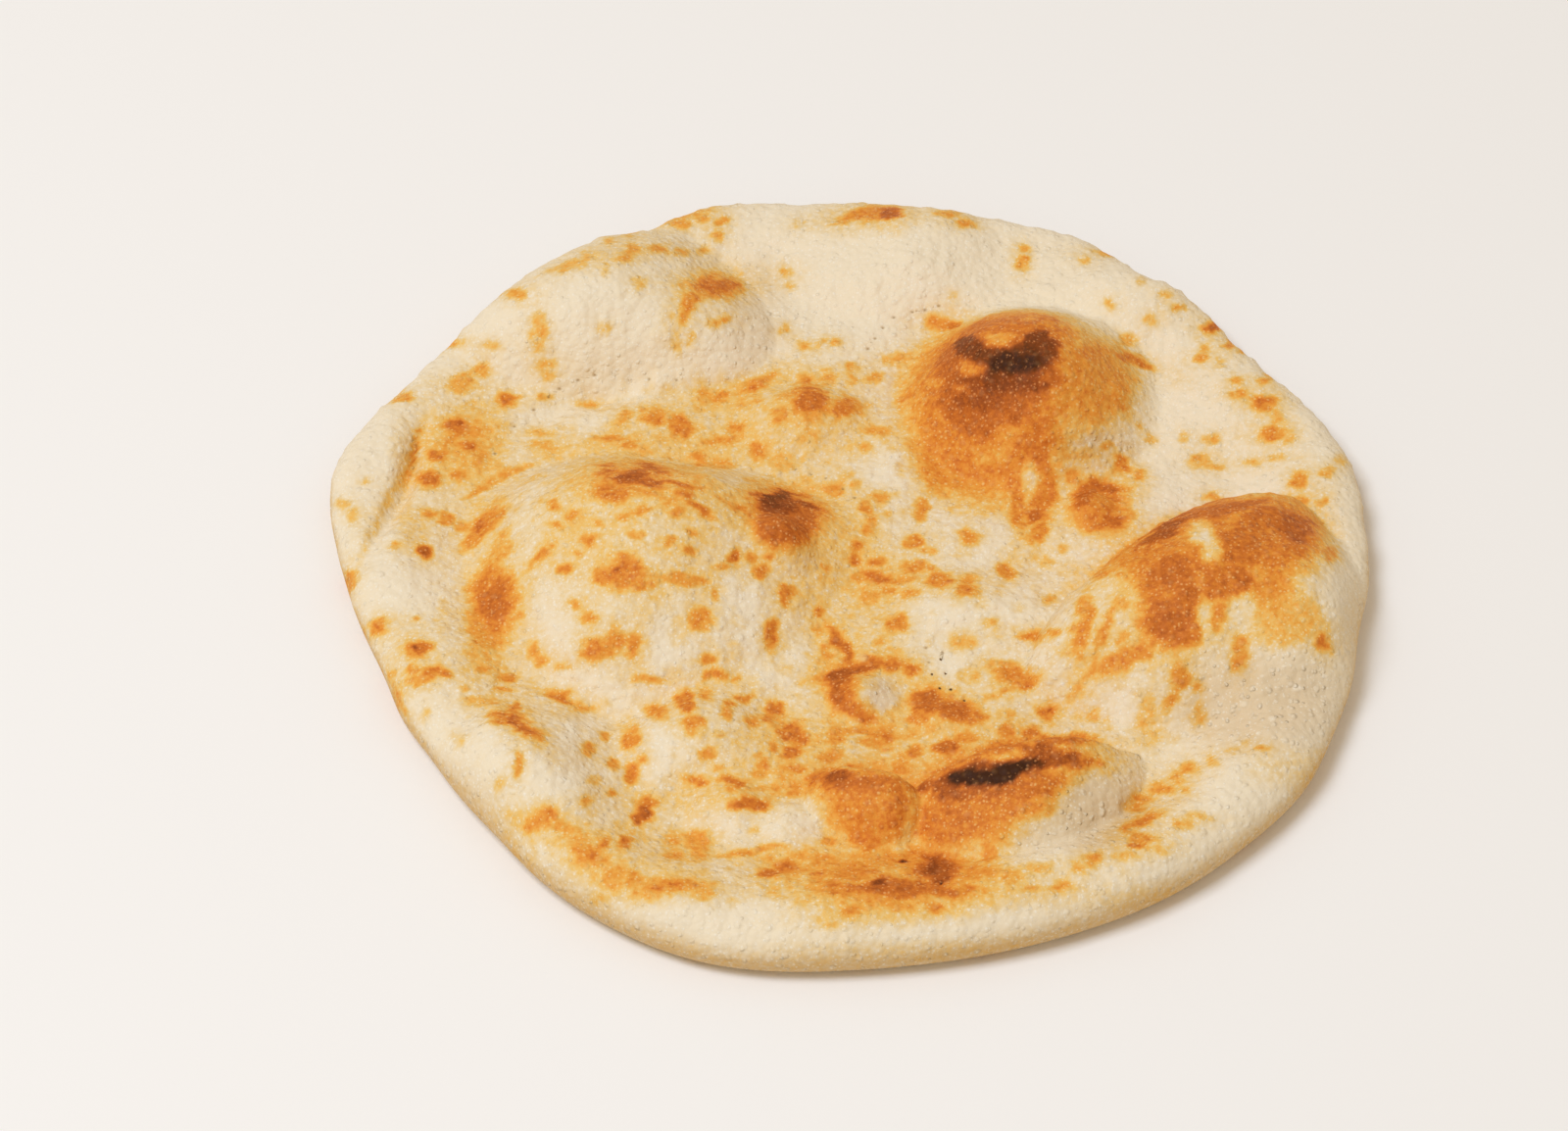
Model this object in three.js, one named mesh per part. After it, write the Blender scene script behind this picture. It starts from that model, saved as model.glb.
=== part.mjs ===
// A round tandoor-baked naan: one leavened flatbread with a puffed rim, a thin middle, large hollow
// domes where steam lifted the skin, and a flat underside. Millimetres, +Z up, origin at the centre of
// the underside. +Y is the back of the bread and -Y the front.
import * as THREE from 'three';
import { mergeVertices } from 'three/addons/utils/BufferGeometryUtils.js';

// Driving dimensions of the whole bread
const MEAN_RADIUS = 143.2;
const BACK_SHIFT = 3.2;
const FLOOR_THICKNESS = 9.5;
const RIM_THICKNESS = 15;
const FRONT_RIM_EXTRA = 2;
const RIM_CREST_INSET = 12;
const RIM_SLOPE_WIDTH = 15;
const EDGE_ROUND = 9;
const UNDER_ROUND = 7;
const EDGE_HEIGHT = 7.5;

// Lobes and flats of the hand-stretched outline: where round the edge (degrees from +X), how far the
// edge stands out or in, and how wide the lobe spreads (degrees)
const EDGE_LOBES = [
  { at: 86, out: 2.2, spread: 6 },
  { at: 65, out: 4, spread: 12 },
  { at: 53, out: -2.2, spread: 4 },
  { at: 35, out: -3.2, spread: 7 },
  { at: 16, out: 2.6, spread: 8 },
  { at: -10, out: -2, spread: 6 },
  { at: -34, out: 2.2, spread: 8 },
  { at: -50, out: 2.2, spread: 15 },
  { at: -106, out: 4.2, spread: 14 },
  { at: -135, out: -2, spread: 8 },
  { at: -156, out: -10, spread: 21 },
  { at: -156, out: 2, spread: 6 },
  { at: 165, out: 7, spread: 11 },
  { at: 105, out: 6.5, spread: 12 },
];

// Hollow domes, by the place of the top, the reach of each side from it, the rise and the foot: near 1 the
// dome stands steep on the floor, near 2 it runs out softly. Three have a steeper or softer foot at the back
// and are turned (degrees).
const DOMES = [
  { name: 'pale, back left', x: -66, y: 95, left: 50, right: 44, front: 29, back: 38, rise: 17, foot: 1.1 },
  { name: 'pale, back', x: 14, y: 118, left: 36, right: 36, front: 22, back: 30, rise: 8, foot: 1.5 },
  { name: 'charred, back', x: 49, y: 64, left: 34, right: 42, front: 37, back: 42, rise: 26, foot: 1.6 },
  { name: 'browned, right', x: 101, y: -12, left: 62, right: 38, front: 46, back: 29, rise: 23.5, foot: 1.1,
    backFoot: 0.65, turn: 39 },
  { name: 'golden, left', x: -60, y: 7, left: 51, right: 60, front: 62, back: 37, rise: 21, foot: 1.35 },
  { name: 'charred, front', x: 44, y: -81, left: 36, right: 32, front: 27, back: 8, rise: 15, foot: 0.85,
    backFoot: 0.95, turn: 15 },
  { name: 'browned, front', x: 7, y: -88.5, left: 21, right: 13, front: 16, back: 6.5, rise: 11.5, foot: 1.05,
    backFoot: 0.5, turn: -22 },
  { name: 'low, front left', x: -42, y: -64, left: 28, right: 27, front: 22, back: 20, rise: 6.5, foot: 2 },
  { name: 'low, left edge', x: -84, y: -78, left: 34, right: 27, front: 32, back: 34, rise: 7.5, foot: 2 },
  { name: 'low, middle', x: 36, y: -16, left: 27, right: 28, front: 20, back: 20, rise: 4, foot: 2 },
  { name: 'low, back edge', x: 78, y: 104, left: 30, right: 32, front: 26, back: 26, rise: 4, foot: 2 },
  { name: 'low, middle back', x: -12, y: 58, left: 25, right: 20, front: 17, back: 17, rise: 5, foot: 2 },
];
const DOME_JOIN = 6;
const DOME_WOBBLE = 0.05;

// Small knobs that stand on the domes and the floor
const KNOBS = [
  { name: 'dark, on the golden dome', x: -19, y: 0, radius: 11, rise: 6.5 },
  { name: 'ringed, middle', x: 2, y: -50, radius: 11, rise: 4.5 },
  { name: 'pale, front left', x: -34, y: -89, radius: 14, rise: 4 },
  { name: 'pale, front', x: -17, y: -98, radius: 12, rise: 3 },
  { name: 'brown, middle front', x: 22, y: -56, radius: 9, rise: 2 },
  { name: 'brown, beside the charred dome', x: 66, y: 21, radius: 9, rise: 3 },
];

// Pinched folds, by the two ends, how far the middle bows to the left of the run, the depth and half width
const FOLDS = [
  { name: 'left rim', from: [-120, 62], to: [-137, -8], bow: 2.5, depth: 4.5, halfWidth: 3 },
  { name: 'foot of the golden dome', from: [-94, -18], to: [-58, -60], bow: -6, depth: 2.5, halfWidth: 6 },
  { name: 'foot of the pale dome', from: [-106, 40], to: [-40, 75], bow: 10, depth: 2.5, halfWidth: 5 },
];

// Slow unevenness of the rolled dough: wavelength and direction (degrees) of each wave
const WAVE_HEIGHT = 0.5;
const WAVES = [
  { length: 61, toward: 20 },
  { length: 43, toward: 95 },
  { length: 34, toward: 150 },
];

// Facets: segments round the bread and rings on each stretch of the profile
const SEGMENTS = 128;
const TOP_RINGS = 28;
const EDGE_STEPS = 4;
const UNDER_RINGS = 3;

const CRUST_COLOUR = 0xe9cf9d;
const CRUST_ROUGHNESS = 0.6;

const degrees = THREE.MathUtils.degToRad;
const turnBetween = (a, b) => Math.atan2(Math.sin(a - b), Math.cos(a - b));

// Radius of the outline in the direction angle: a shifted circle with lobes that fade as a bell curve.
function outlineRadius(angle) {
  let radius = MEAN_RADIUS + BACK_SHIFT * Math.sin(angle);
  for (const lobe of EDGE_LOBES) {
    const off = turnBetween(angle, degrees(lobe.at)) / degrees(lobe.spread);
    radius += lobe.out * Math.exp(-off * off);
  }
  return radius;
}

// Height of the dough before it puffs: a thin floor and a rim that swells to its crest near the edge.
function doughHeight(angle, inset) {
  const rim = RIM_THICKNESS - FRONT_RIM_EXTRA * Math.sin(angle);
  const past = Math.max(0, inset - RIM_CREST_INSET) / RIM_SLOPE_WIDTH;
  return FLOOR_THICKNESS + (rim - FLOOR_THICKNESS) * Math.exp(-past * past);
}

// Rise of one dome at (x, y): rise * (1 - q^2)^foot, with q the distance from the top as a share of the
// reach on that side, made a little uneven round the dome. The foot passes evenly from front to back.
function domeRise(dome, order, x, y) {
  const turn = degrees(dome.turn ?? 0);
  const dx = x - dome.x;
  const dy = y - dome.y;
  const across = dx * Math.cos(turn) + dy * Math.sin(turn);
  const along = dy * Math.cos(turn) - dx * Math.sin(turn);
  const u = across / (across < 0 ? dome.left : dome.right);
  const v = along / (along < 0 ? dome.front : dome.back);
  const away = Math.hypot(u, v);
  const q = away * (1 + DOME_WOBBLE * Math.sin(3 * Math.atan2(v, u) + order));
  const backward = away > 0 ? (1 + v / away) / 2 : 0;
  const foot = THREE.MathUtils.lerp(dome.foot, dome.backFoot ?? dome.foot, backward);
  return q < 1 ? dome.rise * (1 - q * q) ** foot : 0;
}

// Rise of all domes: their power mean, so that two domes meet in a soft valley.
function domesRise(x, y) {
  let sum = 0;
  DOMES.forEach((dome, order) => {
    sum += domeRise(dome, order, x, y) ** DOME_JOIN;
  });
  return sum ** (1 / DOME_JOIN);
}

// Rise of the knobs: each a smooth bump that ends at its radius.
function knobsRise(x, y) {
  let sum = 0;
  for (const knob of KNOBS) {
    const q = Math.hypot(x - knob.x, y - knob.y) / knob.radius;
    if (q < 1) sum += knob.rise * (1 - q * q) ** 2;
  }
  return sum;
}

// Depth of the folds: a bell across each bowed line, fading towards its two ends.
function foldsDepth(x, y) {
  let depth = 0;
  for (const fold of FOLDS) {
    const [x0, y0] = fold.from;
    const runX = fold.to[0] - x0;
    const runY = fold.to[1] - y0;
    const length = Math.hypot(runX, runY);
    const along = ((x - x0) * runX + (y - y0) * runY) / length;
    const swell = Math.sin(Math.PI * THREE.MathUtils.clamp(along / length, 0, 1));
    const across = ((y - y0) * runX - (x - x0) * runY) / length - fold.bow * swell;
    const q = across / fold.halfWidth;
    depth = Math.max(depth, fold.depth * swell * Math.exp(-q * q));
  }
  return depth;
}

// Slow waves of the floor.
function wavesHeight(x, y) {
  let height = 0;
  for (const wave of WAVES) {
    const toward = degrees(wave.toward);
    const along = x * Math.cos(toward) + y * Math.sin(toward);
    height += WAVE_HEIGHT * Math.sin((2 * Math.PI * along) / wave.length);
  }
  return height;
}

// A quarter ellipse: 0 at the edge, 1 once the inset reaches the rounding.
function rounding(inset, round) {
  const left = THREE.MathUtils.clamp(1 - inset / round, 0, 1);
  return Math.sqrt(1 - left * left);
}

// Height of the crust, inset from the edge of the outline.
function crustHeight(x, y, angle, inset) {
  const puffed = domesRise(x, y) + knobsRise(x, y) + wavesHeight(x, y) - foldsDepth(x, y);
  const full = doughHeight(angle, inset) + puffed;
  return EDGE_HEIGHT + (full - EDGE_HEIGHT) * rounding(inset, EDGE_ROUND);
}

// Height of the underside: flat, and rounded up to the edge.
function undersideHeight(inset) {
  return EDGE_HEIGHT * (1 - rounding(inset, UNDER_ROUND));
}

// Inset from the edge at each ring of a side, from the centre to the edge: even steps over the broad
// part, then steps of equal angle round the edge.
function ringInsets(rings, round) {
  const insets = [];
  for (let ring = 0; ring < rings; ring++) {
    insets.push(MEAN_RADIUS - ((MEAN_RADIUS - round) * ring) / rings);
  }
  for (let step = 0; step < EDGE_STEPS; step++) {
    insets.push(round * (1 - Math.sin((Math.PI / 2) * (step / EDGE_STEPS))));
  }
  return insets;
}

// The plain round of dough: a lathe profile from the centre of the underside, round the edge, to the
// centre of the top. Its second coordinate only tells the top (above 0) from the underside.
function doughRound() {
  const under = ringInsets(UNDER_RINGS, UNDER_ROUND);
  const top = ringInsets(TOP_RINGS, EDGE_ROUND).reverse();
  const profile = [
    ...under.map((inset) => new THREE.Vector2(MEAN_RADIUS - inset, -1)),
    new THREE.Vector2(MEAN_RADIUS, 0),
    ...top.map((inset) => new THREE.Vector2(MEAN_RADIUS - inset, 1)),
  ];
  const lathe = new THREE.LatheGeometry(profile, SEGMENTS).rotateX(Math.PI / 2);
  lathe.deleteAttribute('normal');
  lathe.deleteAttribute('uv');
  return mergeVertices(lathe);
}

// Moves each point of the round to where it lies on the baked bread. The inset near the edge stays in
// millimetres, and the broad part stretches to the outline.
function bake(round) {
  const points = round.getAttribute('position');
  for (let i = 0; i < points.count; i++) {
    const angle = Math.atan2(points.getY(i), points.getX(i));
    const plain = Math.hypot(points.getX(i), points.getY(i));
    const side = points.getZ(i);
    const margin = side > 0 ? EDGE_ROUND : UNDER_ROUND;
    const edge = outlineRadius(angle);
    const inner = MEAN_RADIUS - margin;
    const radius = plain < inner ? (plain / inner) * (edge - margin) : edge - (MEAN_RADIUS - plain);
    const x = radius * Math.cos(angle);
    const y = radius * Math.sin(angle);
    const inset = edge - radius;
    points.setXYZ(i, x, y, side > 0 ? crustHeight(x, y, angle, inset) : undersideHeight(inset));
  }
  round.computeBoundingBox();
  const centre = round.boundingBox.getCenter(new THREE.Vector3());
  round.translate(-centre.x, -centre.y, -round.boundingBox.min.z);
  round.computeVertexNormals();
  return round;
}

const crust = new THREE.MeshStandardMaterial({
  name: 'baked_crust',
  color: CRUST_COLOUR,
  roughness: CRUST_ROUGHNESS,
  metalness: 0,
});
const naan = new THREE.Mesh(bake(doughRound()), crust);
naan.name = 'naan';

const bread = new THREE.Group();
bread.add(naan);

export default bread;
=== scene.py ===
"""A round flatbread with a puffed rim, blown domes and scorched spots, lit in a plain studio."""
import itertools
import math

import bpy
import numpy as np
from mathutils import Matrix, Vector


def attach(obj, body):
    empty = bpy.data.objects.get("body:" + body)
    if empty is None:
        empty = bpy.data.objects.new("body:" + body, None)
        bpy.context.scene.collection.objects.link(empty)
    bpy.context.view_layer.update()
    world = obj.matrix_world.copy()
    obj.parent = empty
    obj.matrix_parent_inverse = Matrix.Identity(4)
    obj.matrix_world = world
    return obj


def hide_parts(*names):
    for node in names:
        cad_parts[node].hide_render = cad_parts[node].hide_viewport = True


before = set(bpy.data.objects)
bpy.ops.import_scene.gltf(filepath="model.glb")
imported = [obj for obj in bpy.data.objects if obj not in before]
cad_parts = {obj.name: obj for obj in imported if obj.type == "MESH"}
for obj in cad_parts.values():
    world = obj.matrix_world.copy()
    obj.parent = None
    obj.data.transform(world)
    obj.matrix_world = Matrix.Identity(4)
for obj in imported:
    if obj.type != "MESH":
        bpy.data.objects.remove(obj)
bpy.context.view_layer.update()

MM = 0.001

# The bread's driving sizes in millimetres and degrees, the same as in the part's source.
MEAN_RADIUS = 143.2
BACK_SHIFT = 3.2
FLOOR_THICKNESS = 9.5
RIM_THICKNESS = 15
FRONT_RIM_EXTRA = 2
RIM_CREST_INSET = 12
RIM_SLOPE_WIDTH = 15
EDGE_ROUND = 9
UNDER_ROUND = 7
EDGE_HEIGHT = 7.5
# Swells and dents of the outline: where round the edge, how far out, how wide.
EDGE_LOBES = [
    (86, 2.2, 6), (65, 4, 12), (53, -2.2, 4), (35, -3.2, 7), (16, 2.6, 8), (-10, -2, 6), (-34, 2.2, 8),
    (-50, 2.2, 15), (-106, 4.2, 14), (-135, -2, 8), (-156, -10, 21), (-156, 2, 6), (165, 7, 11),
    (105, 6.5, 12),
]
# Blown domes: middle x and y, reach left, right, front and back, rise, how softly the foot runs out in front
# and at the back, turn.
DOMES = {
    "pale, back left": (-66, 95, 50, 44, 29, 38, 17, 1.1, 1.1, 0),
    "pale, back": (14, 118, 36, 36, 22, 30, 8, 1.5, 1.5, 0),
    "charred, back": (49, 64, 34, 42, 37, 42, 26, 1.6, 1.6, 0),
    "browned, right": (101, -12, 62, 38, 46, 29, 23.5, 1.1, 0.65, 39),
    "golden, left": (-60, 7, 51, 60, 62, 37, 21, 1.35, 1.35, 0),
    "charred, front": (44, -81, 36, 32, 27, 8, 15, 0.85, 0.95, 15),
    "browned, front": (7, -88.5, 21, 13, 16, 6.5, 11.5, 1.05, 0.5, -22),
    "low, front left": (-42, -64, 28, 27, 22, 20, 6.5, 2, 2, 0),
    "low, left edge": (-84, -78, 34, 27, 32, 34, 7.5, 2, 2, 0),
    "low, middle": (36, -16, 27, 28, 20, 20, 4, 2, 2, 0),
    "low, back edge": (78, 104, 30, 32, 26, 26, 4, 2, 2, 0),
    "low, middle back": (-12, 58, 25, 20, 17, 17, 5, 2, 2, 0),
}
DOME_JOIN = 6
DOME_WOBBLE = 0.05
DOME_LOBES = 3
# Small knobs: middle x and y, radius, rise.
KNOBS = [
    (-19, 0, 11, 6.5), (2, -50, 11, 4.5), (-34, -89, 14, 4),
    (-17, -98, 12, 3), (22, -56, 9, 2), (66, 21, 9, 3),
]
# Folds: from, to, bow to the side, depth, half width.
FOLDS = [
    ((-120, 62), (-137, -8), 2.5, 4.5, 3),
    ((-94, -18), (-58, -60), -6, 2.5, 6),
    ((-106, 40), (-40, 75), 10, 2.5, 5),
]
WAVE_HEIGHT = 0.5
WAVES = [(61, 20), (43, 95), (34, 150)]
CAD_SEGMENTS = 128

# The finer mesh of this piece.
TOP_CELLS = 272
UPPER_EDGE_STEPS = 8
UNDER_EDGE_STEPS = 5
UNDER_COARSER = 4
UNDER_STEP_IN = 3

# The photograph's frame and the camera that took it, in millimetres and degrees.
PHOTO_WIDTH = 1600
PHOTO_HEIGHT = 1154
SENSOR_WIDTH = 36
LENS = 120
VIEW_ELEVATION = math.radians(46)
VIEW_DISTANCE = 1461
VIEW_TARGET = np.array((-19.0, 9.0, 0.0))

SEED = 7


def outline_radius(angle):
    """Radius of the edge: a circle pushed back a little, plus a bell-shaped swell or dent for each lobe."""
    radius = MEAN_RADIUS + BACK_SHIFT * np.sin(angle)
    for at, out, spread in EDGE_LOBES:
        away = (np.degrees(angle) - at + 180) % 360 - 180
        radius = radius + out * np.exp(-((away / spread) ** 2))
    return radius


def dome_rise(order, dome, x, y):
    """A dome: rise times (1 - q^2) to the power foot, q being the distance from its middle over its reach.

    The power passes evenly from the front foot's to the back foot's with the share that points back.
    """
    middle_x, middle_y, left, right, front, back, rise, front_foot, back_foot, turn = dome
    turned_cos, turned_sin = math.cos(math.radians(turn)), math.sin(math.radians(turn))
    across = (x - middle_x) * turned_cos + (y - middle_y) * turned_sin
    along = (y - middle_y) * turned_cos - (x - middle_x) * turned_sin
    u = across / np.where(across < 0, left, right)
    v = along / np.where(along < 0, front, back)
    away = np.hypot(u, v)
    q = away * (1 + DOME_WOBBLE * np.sin(DOME_LOBES * np.arctan2(v, u) + order))
    backward = (1 + v / np.maximum(away, 1e-6)) / 2
    return rise * np.clip(1 - q * q, 0, 1) ** (front_foot + (back_foot - front_foot) * backward)


def knob_rise(x, y):
    """The knobs: each is its rise times (1 - q^2) squared."""
    total = np.zeros_like(x)
    for middle_x, middle_y, radius, rise in KNOBS:
        q = np.hypot(x - middle_x, y - middle_y) / radius
        total += rise * np.clip(1 - q * q, 0, 1) ** 2
    return total


def fold_depth(x, y):
    """The folds: a bell-shaped groove along each bowed line, fading out as a sine towards both ends."""
    deepest = np.zeros_like(x)
    for start, end, bow, depth, half_width in FOLDS:
        run_x, run_y = end[0] - start[0], end[1] - start[1]
        length = math.hypot(run_x, run_y)
        along = ((x - start[0]) * run_x + (y - start[1]) * run_y) / length
        swell = np.sin(math.pi * np.clip(along / length, 0, 1))
        across = ((y - start[1]) * run_x - (x - start[0]) * run_y) / length - bow * swell
        deepest = np.maximum(deepest, depth * swell * np.exp(-((across / half_width) ** 2)))
    return deepest


def full_height(x, y, inset):
    """Thickness before the edge is rounded: floor and rim, plus domes, knobs and slow waves, less the folds.

    The rim falls to the floor as a bell, and the domes join as the root of the sum of their powers.
    """
    rim = RIM_THICKNESS - FRONT_RIM_EXTRA * np.sin(np.arctan2(y, x))
    slope = np.maximum(0, inset - RIM_CREST_INSET) / RIM_SLOPE_WIDTH
    height = FLOOR_THICKNESS + (rim - FLOOR_THICKNESS) * np.exp(-(slope**2))
    domes = sum(dome_rise(order, dome, x, y) ** DOME_JOIN for order, dome in enumerate(DOMES.values()))
    height = height + domes ** (1 / DOME_JOIN) + knob_rise(x, y) - fold_depth(x, y)
    for length, heading in WAVES:
        along = x * math.cos(math.radians(heading)) + y * math.sin(math.radians(heading))
        height = height + WAVE_HEIGHT * np.sin(2 * math.pi * along / length)
    return height


def disc_grid(cells):
    """Share of the radius and angle of a square grid drawn out to a disc: its square rings become circles."""
    side = np.linspace(-1, 1, cells + 1)
    across, up = np.meshgrid(side, side)
    sideways = np.abs(across) > np.abs(up)
    share = np.where(sideways, across, up)
    other = np.where(sideways, up, across)
    lean = math.pi / 4 * np.divide(other, share, out=np.zeros_like(share), where=share != 0)
    angle = np.where(sideways, lean, math.pi / 2 - lean) + np.where(share < 0, math.pi, 0)
    return np.abs(share).ravel(), angle.ravel()


def grid_rim(cells):
    """Numbers of the grid's outermost points, once round from the front right corner."""
    numbers = np.arange((cells + 1) ** 2).reshape(cells + 1, cells + 1)
    return np.concatenate([numbers[:-1, -1], numbers[-1, :0:-1], numbers[:0:-1, 0], numbers[0, :-1]])


def grid_faces(cells):
    """The grid's squares, counter-clockwise from above."""
    numbers = np.arange((cells + 1) ** 2).reshape(cells + 1, cells + 1)
    corners = numbers[:-1, :-1], numbers[:-1, 1:], numbers[1:, 1:], numbers[1:, :-1]
    return np.stack([c.ravel() for c in corners], axis=1)


def smooth_step(low, high, value):
    """0 below low, 1 above high, and a smooth S between."""
    t = np.clip((value - low) / (high - low), 0, 1)
    return t * t * (3 - 2 * t)


def bread_form():
    """The plain form as points, quads and triangles: domed top grid, edge in rings, flat underside grid.

    The rings follow one quarter ellipse from the top to the edge and one from there to the underside.
    Its grid is coarser, so each of its cells meets four points of the last ring, in five triangles.
    """
    share, angle = disc_grid(TOP_CELLS)
    radius = share * (outline_radius(angle) - EDGE_ROUND)
    x, y = radius * np.cos(angle), radius * np.sin(angle)
    top = np.stack([x, y, full_height(x, y, outline_radius(angle) - radius)], axis=1)

    ring_count = 4 * TOP_CELLS
    ring_angle = -math.pi / 4 + 2 * math.pi * np.arange(ring_count) / ring_count
    ring_radius = outline_radius(ring_angle)
    rings = []
    for step in range(1, UPPER_EDGE_STEPS + 1):
        lean = math.pi / 2 * (1 - step / UPPER_EDGE_STEPS)
        inset = EDGE_ROUND * (1 - math.cos(lean))
        x, y = (ring_radius - inset) * np.cos(ring_angle), (ring_radius - inset) * np.sin(ring_angle)
        z = EDGE_HEIGHT + (full_height(x, y, inset) - EDGE_HEIGHT) * math.sin(lean)
        rings.append(np.stack([x, y, z], axis=1))
    for step in range(1, UNDER_EDGE_STEPS + 1):
        lean = math.pi / 2 * step / UNDER_EDGE_STEPS
        inset = UNDER_ROUND * (1 - math.cos(lean))
        x, y = (ring_radius - inset) * np.cos(ring_angle), (ring_radius - inset) * np.sin(ring_angle)
        z = np.full_like(x, EDGE_HEIGHT * (1 - math.sin(lean)))
        rings.append(np.stack([x, y, z], axis=1))

    under_cells = TOP_CELLS // UNDER_COARSER
    share, angle = disc_grid(under_cells)
    radius = share * (outline_radius(angle) - UNDER_ROUND - UNDER_STEP_IN)
    under = np.stack([radius * np.cos(angle), radius * np.sin(angle), np.zeros_like(radius)], axis=1)

    quads = [grid_faces(TOP_CELLS)]
    inner = grid_rim(TOP_CELLS)
    first = len(top)
    for number in range(len(rings)):
        outer = first + number * ring_count + np.arange(ring_count)
        quads.append(np.stack([inner, outer, np.roll(outer, -1), np.roll(inner, -1)], axis=1))
        inner = outer
    first += len(rings) * ring_count
    quads.append(first + grid_faces(under_cells)[:, ::-1])
    near = first + grid_rim(under_cells)
    after = np.roll(near, -1)
    fine = inner.reshape(-1, UNDER_COARSER)
    fine_after = np.roll(inner, -UNDER_COARSER).reshape(-1, UNDER_COARSER)[:, 0]
    fan = [
        (near, fine[:, 1], fine[:, 0]), (near, fine[:, 2], fine[:, 1]), (near, after, fine[:, 2]),
        (after, fine[:, 3], fine[:, 2]), (after, fine_after, fine[:, 3]),
    ]
    triangles = np.concatenate([np.stack(corners, axis=1) for corners in fan])
    return np.concatenate([top, *rings, under]), np.concatenate(quads), triangles


def point_normals(points, quads, triangles):
    """Each point's normal: the sum of the normals of the faces round it, made one long."""
    total = np.zeros_like(points)
    for faces in (quads, triangles):
        a, b = points[faces[:, 2]] - points[faces[:, 0]], points[faces[:, -1]] - points[faces[:, 1]]
        normal = np.cross(a, b)
        for corner in faces.T:
            for axis in range(3):
                total[:, axis] += np.bincount(corner, normal[:, axis], len(points))
    return total / np.linalg.norm(total, axis=1, keepdims=True)


def seen_in_photo(points):
    """Where points show in the photograph: pixels across and down, and their distance along the view."""
    off = points - VIEW_TARGET
    ahead = off[:, 1] * math.cos(VIEW_ELEVATION) - off[:, 2] * math.sin(VIEW_ELEVATION)
    upward = off[:, 1] * math.sin(VIEW_ELEVATION) + off[:, 2] * math.cos(VIEW_ELEVATION)
    distance = VIEW_DISTANCE + ahead
    focal = PHOTO_WIDTH * LENS / SENSOR_WIDTH
    across = PHOTO_WIDTH / 2 + focal * off[:, 0] / distance
    down = PHOTO_HEIGHT / 2 - focal * upward / distance
    return across, down, distance


# Fine relief: waves as height, shortest, longest and count, and caps as height for each millimetre of radius,
# spacing, least and largest radius, and the share of cells that have one, in millimetres.
RELIEF_WAVES = [(0.26, 10, 20, 14), (0.12, 3.5, 6, 16)]
RELIEF_CAPS = [(0.2, 5, 0.8, 2.0, 0.6), (0.12, 9, 1.5, 3.6, 0.3)]
# How far the crust faces up, and how high it lies, where the relief starts and where it is full.
RELIEF_FACING = (-0.2, 0.5)
RELIEF_ABOVE = (0.5, 3)
LATTICE_MARGIN = 30
PLACE_IN_CELL = (0.1, 0.9)
SMALLEST_CAP = 0.01


def drawn_waves(points, sizes, random):
    """A rough field: for each size, its height times a sum of plane waves of drawn heading, length, phase."""
    total = np.zeros(len(points))
    for height, shortest, longest, count in sizes:
        heading = random.normal(size=(count, 3))
        heading /= np.linalg.norm(heading, axis=1, keepdims=True)
        length = random.uniform(shortest, longest, count)
        phase = random.uniform(0, 2 * math.pi, count)
        for way, step, start in zip(heading, length, phase):
            total += height / math.sqrt(count) * np.sin(points @ (way * 2 * math.pi / step) + start)
    return total


def scattered_caps(points, sizes, random):
    """Round caps on a jittered lattice for each size: a cap of drawn place and radius in each cell, or none.

    A cap is the size's height times its radius times (1 - q^2), q being the distance from its middle over
    its radius. The caps of one lattice are joined by the highest, and the lattices are added up.
    """
    total = np.zeros(len(points))
    for height, spacing, small, large, share in sizes:
        cells = int(2 * (MEAN_RADIUS + LATTICE_MARGIN) / spacing)
        place = random.uniform(*PLACE_IN_CELL, (cells, cells, 2))
        radius = random.uniform(small, large, (cells, cells))
        radius *= random.random((cells, cells)) < share
        at = (points[:, :2] + MEAN_RADIUS + LATTICE_MARGIN) / spacing
        cell = np.floor(at).astype(int)
        highest = np.zeros(len(points))
        for step_x, step_y in itertools.product((-1, 0, 1), repeat=2):
            i = np.clip(cell[:, 0] + step_x, 0, cells - 1)
            j = np.clip(cell[:, 1] + step_y, 0, cells - 1)
            away = np.hypot(at[:, 0] - i - place[i, j, 0], at[:, 1] - j - place[i, j, 1]) * spacing
            q = away / np.maximum(radius[i, j], SMALLEST_CAP)
            highest = np.maximum(highest, radius[i, j] * np.clip(1 - q * q, 0, 1))
        total += height * highest
    return total


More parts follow.
